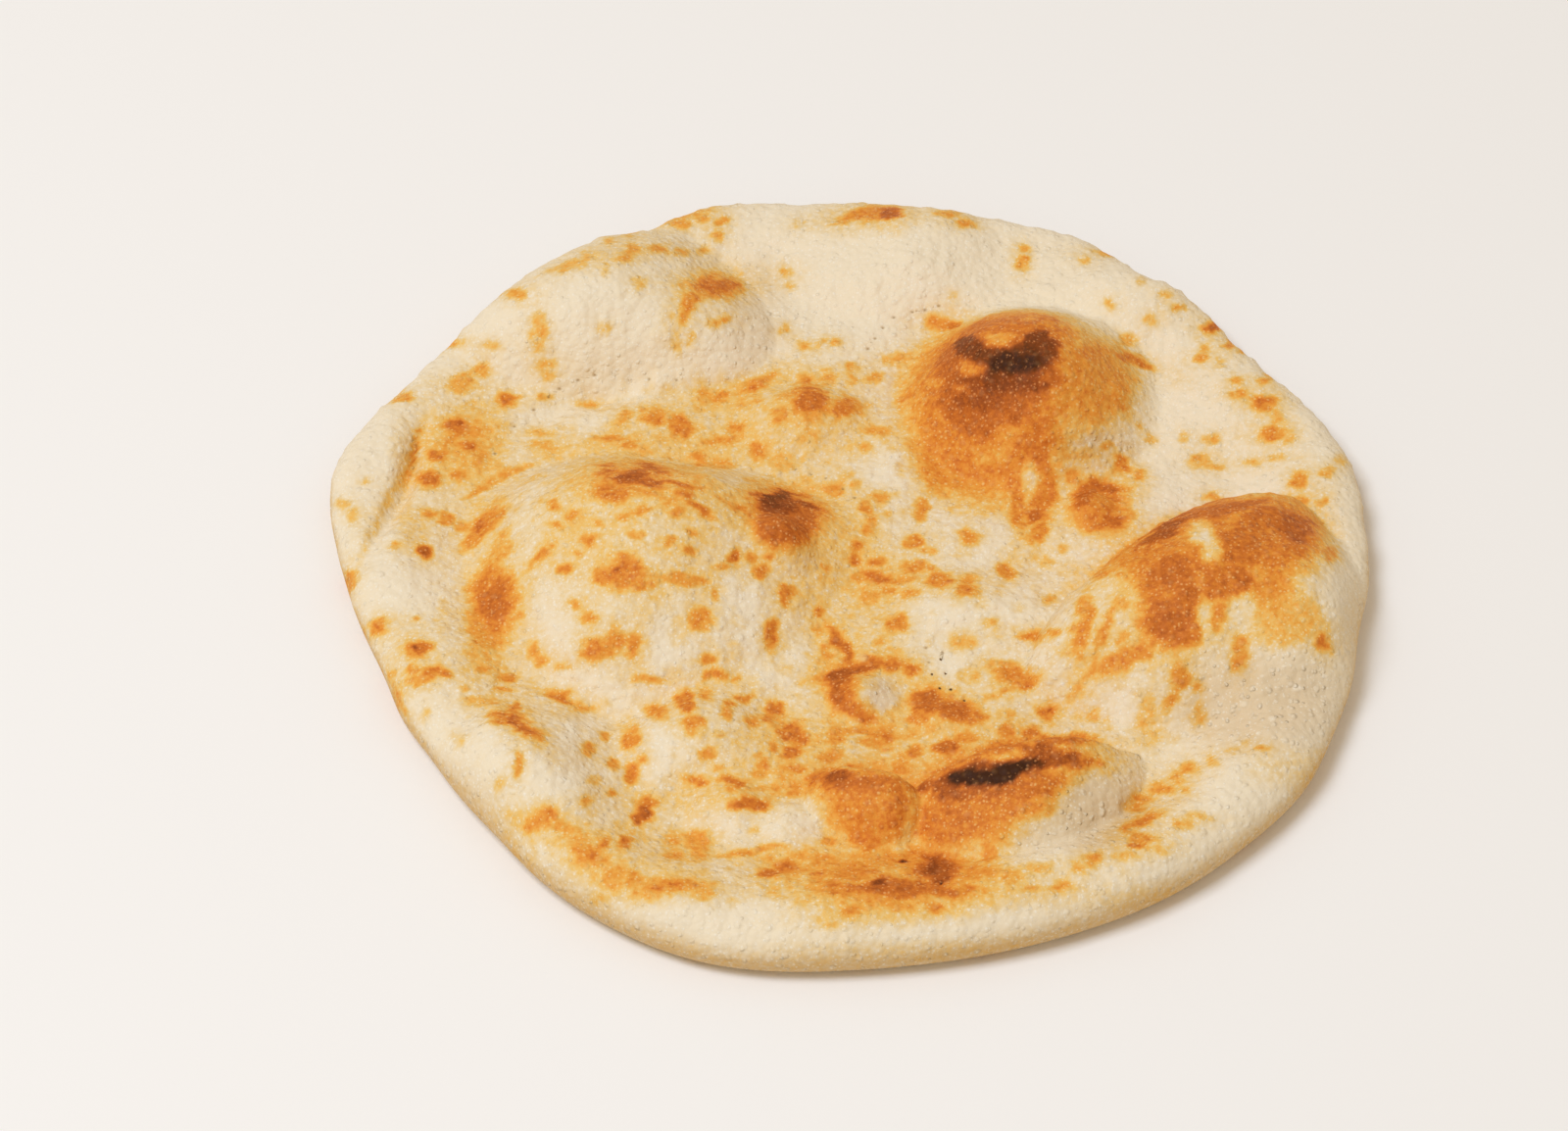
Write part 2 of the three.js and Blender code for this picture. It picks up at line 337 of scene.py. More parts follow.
# Browned spots as the photograph shows them: middle across, middle down, width, height in pixels, and level,
# from 0.1, faintly golden, through 0.5, orange, and 0.7, brown, to 1, char.
SPOTS = {
    "left rim": [
        (352, 515, 12, 9, .15), (361, 526, 11, 12, .22), (358, 592, 12, 18, .38), (373, 490, 10, 8, .1),
        (411, 405, 16, 9, .36), (387, 640, 20, 15, .48), (425, 661, 25, 20, .62), (422, 661, 8, 9, .8),
        (440, 693, 10, 7, .5), (422, 682, 7, 12, .35), (423, 696, 13, 9, .4), (413, 698, 6, 5, .12),
        (398, 688, 5, 6, .45), (425, 632, 7, 5, .3), (452, 627, 16, 30, .12), (460, 350, 16, 8, .35),
        (500, 352, 12, 6, .25), (492, 377, 16, 14, .35), (472, 392, 30, 14, .38), (525, 300, 16, 6, .4),
        (548, 335, 14, 26, .22), (553, 338, 8, 10, .32), (551, 355, 8, 8, .3), (617, 335, 12, 10, .12),
        (558, 372, 16, 10, .25), (560, 385, 10, 8, .3), (470, 755, 13, 11, .12), (435, 730, 8, 8, .12),
    ],
    "left valley": [
        (517, 408, 18, 11, .6), (554, 406, 12, 6, .3), (465, 436, 24, 16, .6), (470, 432, 12, 7, .7),
        (457, 448, 14, 12, .4), (483, 440, 22, 10, .4), (478, 455, 18, 9, .62), (446, 464, 16, 12, .58),
        (440, 488, 24, 15, .6), (470, 486, 11, 9, .5), (490, 470, 14, 18, .25), (438, 524, 13, 7, .5),
        (457, 530, 14, 12, .4), (468, 536, 14, 10, .3), (486, 537, 10, 14, .65), (433, 561, 15, 13, .7),
        (403, 557, 8, 7, .25), (525, 722, 9, 9, .5), (523, 733, 10, 10, .68), (529, 780, 9, 18, .45),
        (493, 683, 13, 6, .42), (475, 702, 8, 5, .2), (488, 716, 24, 7, .25),
    ],
    "back domes": [
        (600, 264, 14, 6, .28), (695, 228, 18, 8, .4), (715, 224, 8, 5, .4), (735, 225, 12, 6, .4),
        (733, 238, 10, 7, .4), (643, 237, 7, 4, .35), (622, 246, 10, 4, .3), (648, 255, 12, 8, .38),
        (637, 262, 16, 6, .35), (672, 253, 18, 7, .38), (695, 257, 10, 4, .3), (720, 256, 10, 5, .28),
        (650, 288, 12, 10, .15), (620, 275, 9, 8, .12), (728, 291, 54, 24, .42), (728, 290, 44, 17, .66),
        (735, 326, 16, 8, .35), (690, 350, 8, 14, .15), (706, 347, 8, 8, .25), (803, 277, 10, 5, .3),
        (808, 290, 8, 6, .15), (800, 337, 8, 6, .3), (820, 352, 12, 8, .4), (835, 350, 8, 6, .15),
        (850, 350, 10, 6, .38), (815, 228, 10, 6, .12), (880, 222, 28, 12, .48), (908, 217, 20, 12, .68),
        (967, 218, 16, 6, .4), (985, 228, 12, 6, .35), (1042, 270, 10, 12, .42), (1042, 254, 8, 8, .3),
        (1131, 257, 20, 5, .4), (1105, 266, 10, 6, .15), (972, 303, 8, 6, .15), (1135, 309, 10, 8, .2),
        (1165, 287, 8, 6, .15),
    ],
    "back right": [
        (1238, 334, 16, 8, .65), (1256, 350, 10, 6, .45), (1270, 358, 10, 5, .4), (1203, 314, 12, 6, .35),
        (1190, 300, 8, 6, .25), (1175, 326, 10, 8, .25), (1148, 348, 14, 10, .3), (1229, 355, 8, 8, .35),
        (1224, 367, 12, 8, .38), (1246, 371, 8, 6, .15), (1263, 390, 14, 9, .35), (1263, 402, 12, 7, .38),
        (1290, 388, 10, 5, .4), (1290, 412, 24, 12, .5), (1285, 409, 14, 7, .62), (1302, 424, 8, 12, .25),
        (1298, 443, 26, 12, .45), (1298, 439, 16, 7, .46), (1315, 447, 10, 7, .3), (1236, 448, 16, 10, .28),
        (1208, 445, 8, 8, .12), (1165, 433, 8, 8, .25), (1172, 447, 8, 8, .2), (1225, 470, 18, 10, .28),
        (1240, 476, 14, 7, .3), (1278, 471, 12, 6, .25), (1303, 468, 14, 5, .25), (1355, 483, 14, 9, .3),
        (1370, 470, 10, 12, .15), (1327, 491, 14, 16, .45), (1348, 512, 7, 7, .35), (1325, 512, 16, 10, .35),
        (1236, 508, 14, 9, .4), (1161, 486, 9, 7, .35),
    ],
    "charred dome": [
        (1008, 420, 160, 178, .58), (1100, 392, 106, 88, .45), (1030, 345, 130, 54, .65),
        (965, 472, 52, 64, .52), (1015, 380, 150, 96, .73), (1006, 408, 116, 92, .73),
        (1024, 372, 126, 70, .77), (1026, 368, 112, 56, .81), (1030, 368, 92, 40, .88),
        (1030, 371, 68, 28, .94), (987, 353, 36, 28, .88), (1060, 354, 46, 40, .88),
        (1035, 388, 90, 38, .83), (1002, 398, 70, 50, .79), (1060, 448, 34, 56, .62),
        (1005, 330, 30, 12, .62), (1060, 328, 40, 12, .6), (1110, 361, 60, 16, .5), (1138, 398, 30, 50, .46),
        (958, 330, 26, 13, .44), (970, 331, 14, 10, .58), (918, 366, 32, 14, .3), (952, 385, 34, 70, .45),
        (1058, 527, 20, 18, .68), (1145, 474, 16, 18, .5), (1096, 486, 10, 14, .42), (1162, 485, 10, 8, .35),
        (1121, 518, 56, 50, .58), (1108, 511, 16, 14, .65), (1136, 531, 24, 20, .65), (1130, 455, 10, 8, .3),
        (1085, 465, 60, 14, .25),
    ],
    "middle back": [
        (870, 375, 12, 8, .35), (870, 388, 10, 8, .2), (890, 387, 14, 8, .38), (845, 383, 12, 8, .4),
        (765, 396, 12, 6, .6), (820, 387, 16, 10, .46), (735, 400, 14, 6, .5), (826, 408, 36, 30, .68),
        (863, 416, 26, 17, .55), (795, 425, 16, 14, .35), (664, 425, 24, 12, .5), (693, 436, 26, 24, .55),
        (636, 425, 12, 14, .38), (603, 413, 14, 7, .35), (725, 404, 30, 12, .35), (747, 436, 14, 9, .5),
        (735, 449, 28, 9, .42), (620, 447, 24, 7, .42), (643, 453, 13, 11, .45), (715, 468, 18, 12, .45),
        (735, 473, 16, 8, .3), (772, 461, 11, 12, .48), (848, 498, 16, 11, .45), (873, 495, 9, 8, .3),
        (548, 440, 16, 8, .25), (552, 453, 18, 6, .28), (560, 457, 14, 4, .3), (893, 440, 20, 8, .3),
        (880, 455, 14, 10, .25), (820, 445, 10, 10, .25),
    ],
    "middle": [
        (881, 520, 11, 14, .45), (898, 506, 15, 9, .33), (937, 520, 14, 20, .44), (988, 549, 18, 14, .46),
        (935, 554, 18, 9, .52), (887, 540, 13, 15, .4), (905, 524, 8, 6, .25), (945, 561, 12, 6, .3),
        (872, 556, 13, 8, .55), (872, 571, 11, 9, .57), (895, 572, 16, 9, .5), (900, 587, 26, 12, .6),
        (880, 590, 20, 10, .4), (845, 580, 10, 8, .3), (935, 580, 26, 9, .45), (925, 591, 20, 8, .35),
        (957, 593, 22, 12, .5), (905, 601, 14, 8, .38), (886, 610, 16, 10, .35), (930, 605, 14, 8, .35),
        (988, 603, 22, 14, .5), (1027, 584, 15, 17, .48), (988, 591, 16, 6, .35), (1073, 611, 14, 8, .2),
        (1070, 575, 12, 8, .15), (1085, 560, 10, 8, .15), (1122, 583, 14, 12, .4), (917, 637, 24, 17, .48),
        (900, 655, 12, 9, .25), (1052, 650, 20, 11, .55), (1073, 644, 9, 6, .4), (1010, 637, 10, 8, .25),
        (985, 655, 22, 9, .25), (1010, 675, 14, 8, .25), (1030, 687, 28, 20, .48), (1048, 698, 20, 13, .52),
        (995, 690, 12, 9, .25), (1030, 728, 10, 9, .3), (1070, 726, 20, 14, .55), (1073, 723, 12, 6, .68),
        (1050, 747, 20, 11, .6), (1027, 745, 13, 15, .5), (1115, 727, 11, 13, .4), (1131, 738, 7, 11, .12),
        (1100, 731, 10, 6, .12), (833, 623, 9, 9, .52), (832, 645, 12, 8, .38), (845, 668, 9, 16, .42),
    ],
    "golden dome": [
        (504, 614, 46, 80, .61), (505, 614, 36, 54, .7), (498, 640, 40, 50, .42), (495, 668, 32, 40, .2),
        (518, 691, 15, 5, .5), (512, 705, 15, 5, .4), (642, 486, 44, 16, .76), (622, 503, 36, 18, .6),
        (695, 503, 15, 7, .6), (690, 524, 16, 9, .45), (685, 517, 12, 6, .35), (565, 515, 11, 9, .45),
        (587, 525, 17, 9, .45), (568, 535, 13, 9, .5), (612, 537, 13, 7, .48), (600, 553, 15, 9, .55),
        (573, 581, 13, 11, .55), (588, 566, 12, 8, .3), (613, 586, 13, 11, .48), (633, 574, 16, 16, .52),
        (636, 584, 42, 30, .6), (628, 579, 14, 12, .68), (653, 596, 14, 10, .45), (666, 593, 12, 10, .25),
        (692, 590, 26, 11, .4), (712, 595, 14, 8, .38), (702, 563, 11, 9, .48), (747, 566, 12, 9, .62),
        (767, 567, 12, 10, .45), (785, 567, 10, 9, .5), (778, 583, 14, 13, .55), (735, 578, 18, 6, .35),
        (728, 606, 9, 9, .35), (803, 609, 12, 14, .55), (803, 600, 9, 6, .52), (653, 522, 14, 9, .4),
        (637, 528, 10, 8, .35), (650, 545, 14, 8, .35), (683, 551, 11, 9, .4), (707, 545, 12, 9, .4),
        (601, 629, 12, 14, .42), (588, 617, 10, 8, .35), (612, 662, 34, 22, .5), (606, 662, 14, 12, .55),
        (628, 652, 20, 14, .5), (647, 659, 11, 24, .48), (545, 665, 11, 18, .42), (553, 676, 11, 10, .38),
        (575, 680, 12, 7, .2), (570, 710, 22, 9, .6), (595, 724, 18, 7, .3), (715, 633, 24, 20, .42),
        (712, 630, 10, 12, .5), (788, 648, 15, 28, .58), (725, 673, 15, 9, .45), (660, 692, 20, 7, .4),
        (729, 689, 19, 9, .55), (747, 692, 10, 6, .38),
    ],
    "knob on the golden dome": [
        (803, 531, 70, 56, .71), (794, 514, 50, 26, .82), (790, 511, 34, 18, .85), (828, 527, 24, 28, .52),
    ],
    "foot of the golden dome": [
        (699, 716, 20, 22, .55), (707, 736, 18, 16, .5), (705, 746, 12, 10, .35), (720, 708, 12, 9, .45),
        (671, 726, 17, 15, .48), (742, 723, 13, 13, .42), (758, 712, 15, 9, .5), (768, 737, 13, 9, .38),
        (735, 748, 12, 6, .2), (791, 722, 20, 14, .6), (785, 735, 14, 8, .5), (807, 747, 30, 18, .65),
        (820, 755, 12, 9, .62), (808, 768, 21, 14, .6), (788, 763, 9, 9, .48), (773, 770, 8, 8, .3),
        (812, 786, 18, 9, .55), (780, 779, 13, 13, .45), (775, 790, 10, 10, .3), (723, 770, 17, 15, .4),
        (733, 785, 12, 7, .25), (643, 756, 15, 15, .5), (645, 745, 9, 8, .35), (657, 776, 9, 9, .3),
        (645, 792, 13, 17, .55), (707, 798, 20, 9, .55), (748, 799, 20, 12, .6), (767, 820, 34, 14, .68),
        (660, 820, 26, 11, .5), (655, 831, 16, 21, .7), (602, 765, 12, 12, .38), (618, 752, 8, 7, .4),
        (625, 780, 12, 11, .4), (605, 797, 9, 8, .2), (622, 808, 8, 5, .45), (600, 818, 12, 7, .35),
        (532, 815, 10, 8, .15), (512, 800, 10, 13, .15),
    ],
    "ring knob": [
        (858, 699, 34, 42, .64), (856, 690, 34, 20, .77), (885, 729, 34, 12, .56), (888, 674, 28, 15, .6),
        (912, 676, 26, 18, .58), (929, 684, 18, 14, .6), (950, 713, 34, 14, .7), (935, 732, 18, 14, .5),
        (985, 731, 12, 12, .55), (880, 747, 44, 9, .5), (853, 752, 13, 16, .42), (890, 759, 26, 9, .42),
        (850, 771, 22, 13, .45), (905, 752, 14, 9, .55), (906, 765, 8, 4, .45), (936, 768, 14, 11, .48),
        (968, 763, 26, 14, .65), (920, 782, 18, 18, .45), (950, 745, 20, 8, .18), (990, 752, 22, 10, .38),
    ],
    "front knobs": [
        (888, 822, 88, 80, .56), (868, 797, 100, 18, .71), (853, 791, 46, 14, .8), (915, 826, 30, 56, .62),
        (885, 857, 36, 20, .62), (885, 805, 60, 14, .64), (1002, 815, 126, 84, .62), (966, 838, 62, 56, .62),
        (970, 812, 50, 18, .76), (1008, 806, 54, 14, .74), (1062, 765, 56, 18, .8), (1060, 800, 74, 32, .66),
        (1040, 820, 62, 20, .56), (1010, 868, 14, 26, .42), (1100, 778, 34, 16, .66),
    ],
    "front rim": [
        (954, 887, 54, 34, .7), (955, 888, 40, 26, .78), (952, 885, 20, 17, .76), (958, 898, 5, 5, 1),
        (921, 880, 9, 4, .95), (897, 899, 22, 8, .8), (905, 905, 56, 13, .72), (960, 906, 40, 12, .6),
        (985, 911, 12, 4, .42), (935, 870, 34, 10, .48), (905, 877, 56, 13, .4), (990, 890, 26, 16, .42),
        (1010, 890, 20, 10, .35), (1032, 893, 20, 12, .3), (1060, 886, 26, 10, .22), (1050, 905, 14, 5, .3),
        (1082, 905, 18, 6, .38), (1115, 877, 18, 11, .42), (1100, 885, 14, 8, .28), (805, 886, 30, 13, .65),
        (785, 893, 20, 10, .62), (835, 893, 13, 9, .6), (840, 877, 26, 8, .4), (852, 906, 24, 15, .5),
        (820, 872, 20, 8, .3), (870, 890, 40, 20, .52), (868, 930, 18, 11, .45), (845, 941, 32, 7, .3),
        (875, 924, 16, 9, .22), (953, 928, 22, 11, .45), (900, 920, 30, 10, .35), (925, 925, 24, 12, .3),
        (785, 875, 14, 6, .35), (847, 860, 16, 8, .35), (692, 903, 56, 12, .48), (693, 903, 18, 6, .6),
        (675, 905, 14, 6, .55), (660, 912, 26, 10, .3), (717, 911, 22, 10, .3), (630, 890, 40, 16, .3),
        (645, 895, 20, 18, .35), (710, 856, 24, 13, .4), (686, 857, 14, 8, .35), (690, 873, 16, 9, .38),
        (715, 868, 18, 16, .35), (638, 859, 13, 13, .58), (618, 861, 9, 12, .5), (604, 872, 26, 20, .5),
        (590, 866, 14, 12, .5), (594, 880, 12, 12, .4), (557, 832, 16, 10, .52), (548, 842, 20, 12, .5),
        (520, 832, 12, 7, .1), (612, 917, 18, 8, .2), (625, 900, 14, 14, .22), (770, 849, 9, 6, .2),
        (1150, 846, 12, 8, .45), (1168, 855, 20, 6, .42), (1160, 864, 14, 5, .58), (1187, 866, 14, 6, .25),
        (1150, 874, 18, 6, .3), (1205, 842, 15, 5, .35), (1225, 836, 20, 6, .2),
    ],
    "right dome": [
        (1190, 574, 84, 60, .57), (1298, 548, 100, 78, .63), (1290, 530, 66, 30, .68),
        (1322, 540, 38, 36, .75), (1196, 606, 62, 104, .69), (1200, 580, 42, 40, .67),
        (1196, 640, 60, 44, .69), (1190, 618, 44, 30, .66), (1212, 612, 34, 44, .66),
        (1250, 594, 74, 42, .66), (1268, 590, 34, 28, .69), (1228, 572, 34, 40, .62),
        (1262, 558, 60, 50, .68), (1168, 603, 14, 34, .58), (1244, 626, 15, 32, .54),
        (1298, 600, 46, 34, .5), (1312, 618, 30, 18, .34), (1264, 666, 17, 34, .46),
        (1312, 632, 70, 50, .28), (1353, 657, 15, 20, .58), (1356, 566, 12, 16, .42),
        (1203, 689, 18, 20, .45), (1220, 700, 11, 11, .35), (1172, 732, 16, 44, .25),
        (1222, 730, 9, 14, .25), (1096, 640, 8, 8, .32), (1100, 667, 9, 10, .26), (1126, 650, 9, 14, .42),
        (1144, 652, 9, 10, .35), (1148, 617, 8, 8, .35),
    ],
    "right rim": [
        (1213, 785, 15, 12, .42), (1200, 795, 14, 10, .28), (1185, 804, 18, 9, .48),
        (1165, 815, 22, 11, .42), (1153, 823, 16, 8, .45), (1210, 806, 12, 8, .2), (1237, 776, 9, 10, .28),
        (1256, 765, 12, 4, .12), (1288, 763, 9, 5, .4), (1270, 757, 8, 5, .1),
    ],
}
# Browned streaks: from across and down to across and down, width in pixels, level.
STREAKS = {
    "left": [
        # The first, along the left rim's crease, is partly browning and partly painted shade in the crease.
        (428, 447, 419, 480, 6, .6), (418, 478, 400, 506, 6, .14), (400, 506, 384, 526, 6, .1),
        (384, 526, 372, 562, 6, .14), (431, 690, 443, 683, 10, .5), (443, 683, 456, 686, 9, .58),
        (402, 700, 408, 720, 5, .35), (478, 552, 505, 522, 16, .55), (480, 505, 500, 494, 6, .4),
        (505, 490, 533, 478, 7, .42), (508, 730, 525, 733, 12, .5), (525, 733, 546, 750, 13, .6),
        (570, 275, 600, 265, 8, .32), (515, 552, 503, 580, 14, .3), (540, 838, 575, 842, 18, .36),
        (575, 842, 600, 865, 18, .3),
    ],
    "back": [
        (680, 226, 722, 214, 8, .28), (708, 302, 696, 316, 12, .48), (696, 316, 696, 326, 9, .4),
        (866, 222, 905, 216, 14, .52), (757, 398, 785, 385, 9, .5), (1140, 361, 1168, 372, 7, .62),
        (925, 406, 950, 397, 10, .4), (1032, 480, 1040, 527, 20, .58), (1066, 468, 1061, 538, 22, .6),
        (1100, 512, 1117, 495, 14, .64), (1117, 495, 1138, 499, 14, .66),
    ],
    "golden dome": [
        (622, 481, 668, 497, 16, .72), (652, 473, 677, 479, 8, .65), (672, 488, 704, 497, 4, .68),
        (702, 511, 724, 522, 7, .58), (546, 575, 560, 561, 8, .45), (558, 708, 582, 716, 6, .5),
        (851, 646, 866, 668, 11, .65), (774, 506, 814, 506, 8, .84), (812, 509, 836, 520, 6, .74),
        (745, 515, 770, 530, 5, .5), (640, 500, 690, 512, 4, .35),
    ],
    "ring knob": [
        (864, 685, 890, 681, 12, .68), (850, 692, 856, 712, 18, .67), (856, 714, 890, 732, 17, .65),
        (936, 714, 962, 720, 24, .62), (958, 720, 986, 728, 24, .65), (1012, 709, 1035, 700, 7, .4),
    ],
    "front": [
        (822, 796, 848, 790, 8, .6), (780, 804, 838, 801, 4, .42), (785, 812, 835, 808, 4, .38),
        (948, 797, 1000, 769, 16, .62), (1000, 769, 1050, 757, 14, .66), (1050, 757, 1110, 755, 11, .68),
        (944, 808, 990, 793, 24, .8), (966, 797, 1046, 784, 34, .79), (968, 797, 1044, 785, 25, .92),
        (974, 796, 1038, 787, 18, .99), (1020, 787, 1064, 777, 20, .87), (1030, 784, 1060, 778, 12, .94),
        (1048, 779, 1096, 771, 18, .81), (1078, 775, 1112, 778, 10, .75), (862, 905, 975, 908, 20, .68),
        (740, 871, 790, 866, 6, .45), (1155, 843, 1174, 834, 11, .55),
    ],
    "right dome": [
        (1146, 572, 1200, 540, 26, .48), (1195, 536, 1270, 516, 30, .62), (1168, 554, 1216, 526, 17, .79),
        (1210, 528, 1290, 512, 15, .71), (1172, 660, 1128, 682, 20, .52), (1200, 700, 1193, 722, 8, .4),
        (1108, 620, 1102, 655, 13, .52), (1135, 625, 1122, 652, 7, .4), (1122, 652, 1110, 690, 6, .35),
        (1110, 690, 1095, 708, 6, .3), (1124, 580, 1142, 564, 5, .4), (1142, 564, 1172, 546, 4, .45),
    ],
}
# Paler islands in the browning: middle across, middle down, width, height, how much of the level they take.
PALE_ISLANDS = [
    (1018, 347, 30, 16, .44), (991, 375, 26, 15, .32), (979, 396, 18, 8, .25), (953, 391, 11, 7, .25),
    (1027, 441, 30, 18, .25), (1010, 464, 34, 20, .3), (1052, 486, 15, 30, .75), (1226, 543, 25, 27, .7),
    (1236, 558, 22, 30, .75), (1231, 630, 14, 36, .7), (1268, 622, 30, 26, .55), (1190, 606, 28, 13, .1),
    (898, 709, 38, 32, .85), (880, 670, 11, 7, .5), (1028, 771, 40, 8, .3), (1116, 820, 68, 52, .88),
    (1066, 847, 84, 34, .62), (1095, 425, 20, 26, .2),
]
# Thin, greyish, translucent skin, and painted shade on the right flanks of the domes and in the left rim's
# crease: middle across, middle down, width, height, strength.
SKIN_AND_SHADE = [
    (1120, 830, 110, 90, .85), (1060, 850, 90, 44, .5), (897, 708, 46, 38, .42), (1280, 715, 190, 110, .8),
    (1110, 455, 110, 40, .5), (790, 545, 60, 40, .3), (775, 320, 70, 130, .35), (421, 464, 14, 44, 1),
]
# Where small golden freckles crowd: middle across, middle down, width, height, strength.
FRECKLED = [
    (700, 640, 560, 420, .35), (820, 460, 520, 180, .9), (930, 740, 420, 260, .8), (880, 900, 560, 70, .8),
    (1060, 640, 240, 260, .45), (520, 480, 200, 160, .6), (620, 860, 260, 90, .6), (1180, 700, 160, 200, .4),
]
# Where the crust is golden between its marks, and painted shade low on the front and right rim and on the
# golden dome's right flank: middle across, middle down, width, height, level.
GOLDEN_AND_SHADE = [
    (640, 545, 270, 200, .05), (665, 468, 240, 64, .16), (800, 440, 210, 120, .13), (478, 452, 90, 92, .26),
    (412, 452, 30, 60, .06), (800, 502, 110, 60, .13), (858, 590, 130, 170, .13), (760, 410, 200, 50, .1),
    (900, 900, 260, 80, .19), (640, 870, 200, 90, .07), (960, 760, 200, 70, .05), (800, 760, 120, 90, .08),
    (480, 420, 60, 30, .2), (1330, 785, 120, 50, .07), (1130, 915, 260, 30, .05), (900, 968, 300, 24, .04),
    (610, 495, 120, 40, .16), (705, 820, 60, 40, .1), (420, 540, 40, 60, .1),
]
# Pinholes docked in the dough, as the photograph shows them: across, down, diameter in pixels. Those
# stretched shut are shallow dents, and the deep ones are dark; both are coloured with painted shade.
SHALLOW_PINHOLES = [
    (505, 462, 6), (525, 435, 6), (545, 418, 6), (560, 405, 6), (571, 397, 7), (590, 388, 7), (607, 383, 7),
    (625, 381, 7), (642, 388, 7), (662, 387, 6), (690, 388, 6), (958, 312, 6), (944, 316, 7), (931, 318, 6),
    (912, 324, 7), (901, 334, 6), (893, 345, 6), (886, 355, 6), (812, 478, 5), (828, 484, 5), (843, 489, 5),
    (860, 498, 5), (872, 507, 5), (962, 664, 6), (945, 660, 6), (948, 675, 5), (1100, 794, 4),
    (1113, 793, 4),
]
DEEP_PINHOLES = [(970, 703, 5), (965, 687, 4), (960, 672, 4), (951, 688, 4), (959, 702, 4), (984, 714, 4)]
SHALLOW_SHARE = 0.6
PINHOLE_DEPTH = 0.8
# Larger blisters of the skin, likewise.
BLISTERS = [
    (1324, 702, 12), (1269, 719, 11), (1298, 734, 10), (1352, 690, 8), (1226, 751, 10), (1257, 752, 10),
    (1288, 690, 6), (1310, 680, 6), (1341, 676, 6), (1362, 668, 6), (1302, 716, 6), (1243, 727, 6),
    (1284, 748, 7), (880, 671, 16), (1150, 449, 11), (1036, 858, 8), (1076, 851, 6), (1101, 849, 5),
    (1080, 867, 5), (1043, 826, 6), (1118, 846, 6),
]
BLISTER_RISE = 0.3
# Past this share of its radius a pinhole or blister fades fast, and points that see none are this far off.
OFFSET_FADE_FROM = 2
OFFSET_FADE = 3
OFFSET_NONE = 9.0

# How marks sit on the crust, in pixels of the photograph and millimetres along the view.
SIGHT_SEARCH = 4
SIGHT_REACH = 12
SIGHT_REACH_SHARE = 0.12
SIGHT_FADE = 1.5
MARK_GROWTH = 0.8
SMALL_MARK = 30
SMALL_MARK_DEEPER = 0.06
MARK_SOFT = 1.6
MARK_SOFT_SHARE = 0.16
MARK_JOIN = 16
HALO_REACH = 7
HALO_REACH_SHARE = 0.3
HALO_SIZE_MOST = 30
HALO_LEVEL = 0.14
HALO_MOST = 0.3
HALO_LOST_AT = 0.6
AREA_FADE = (-0.15, 0.3)
# Waves, as the relief's but with heights in pixels, that drift the marks and make their edges ragged.
DRIFT_ACROSS = [(2.2, 7, 16, 12), (1.2, 3, 6, 12)]
DRIFT_DOWN = [(1.6, 7, 16, 12), (0.9, 3, 6, 12)]
RAGGED_EDGES = [(1.6, 4, 9, 14), (0.8, 1.8, 3.5, 14)]
RAGGED_SIZE = 16
ISLAND_RAGGED = 0.5

# The ground between the marks, as bake levels. Freckles and the underside's spots are caps as the relief's.
FRECKLES = [(0.075, 6, 0.8, 2.6, 0.7), (0.05, 10, 2, 5, 0.6)]
GOLDEN_LOST_AT = 0.5
THIN_LESS_GOLDEN = 0.8
# The edge's side, by how far it faces away from up, turns golden and takes the skin tint: partly its own
# colour, partly painted shade under the rim's curve.
SIDE_GOLDEN_AND_SHADE = 0.085
SIDE_FACING = (0.7, -0.1)
UNDER_LEVEL = 0.08
UNDER_SPOTS = [(0.042, 24, 4, 12, 0.75)]
UNDER_FACING = (-0.75, -0.95)


def in_spot(across, down, spot):
    """How far inside a spot's ellipse a pixel lies, in pixels, below 0 outside it."""
    half_width, half_height = spot[2] / 2, spot[3] / 2
    q = np.hypot((across - spot[0]) / half_width, (down - spot[1]) / half_height)
    return (1 - q) * min(half_width, half_height)


def in_streak(across, down, streak):
    """How far inside a streak a pixel lies: a long ellipse on the line between its ends."""
    from_across, from_down, to_across, to_down, width, _ = streak
    run_across, run_down = to_across - from_across, to_down - from_down
    length = math.hypot(run_across, run_down)
    off_across, off_down = across - (from_across + to_across) / 2, down - (from_down + to_down) / 2
    along = (off_across * run_across + off_down * run_down) / length
    aside = (off_down * run_across - off_across * run_down) / length
    return (1 - np.hypot(along / ((length + width) / 2), aside / (width / 2))) * width / 2


def browned_marks(across, down):
    """Each mark in turn: how far inside it a pixel lies, its middle, its width, its length and its level."""
    for spot in itertools.chain(*SPOTS.values()):
        at_across, at_down, width, height, level = spot
        yield in_spot(across, down, spot), (at_across, at_down), min(width, height), max(width, height), level
    for streak in itertools.chain(*STREAKS.values()):
        from_across, from_down, to_across, to_down, width, level = streak
        middle = (from_across + to_across) / 2, (from_down + to_down) / 2
        length = math.hypot(to_across - from_across, to_down - from_down)
        yield in_streak(across, down, streak), middle, width, length, level


def sight_gate(view, middle, size):
    """1 on crust near the point that the camera sees at that pixel, and 0 well before or behind it."""
    across, down, distance = view
    near = np.hypot(across - middle[0], down - middle[1]) < SIGHT_SEARCH
    if not near.any():
        return np.zeros(len(across))
    behind = distance - distance[near].min()
    reach = SIGHT_REACH + SIGHT_REACH_SHARE * size
    return smooth_step(SIGHT_FADE * reach, reach, np.abs(behind))


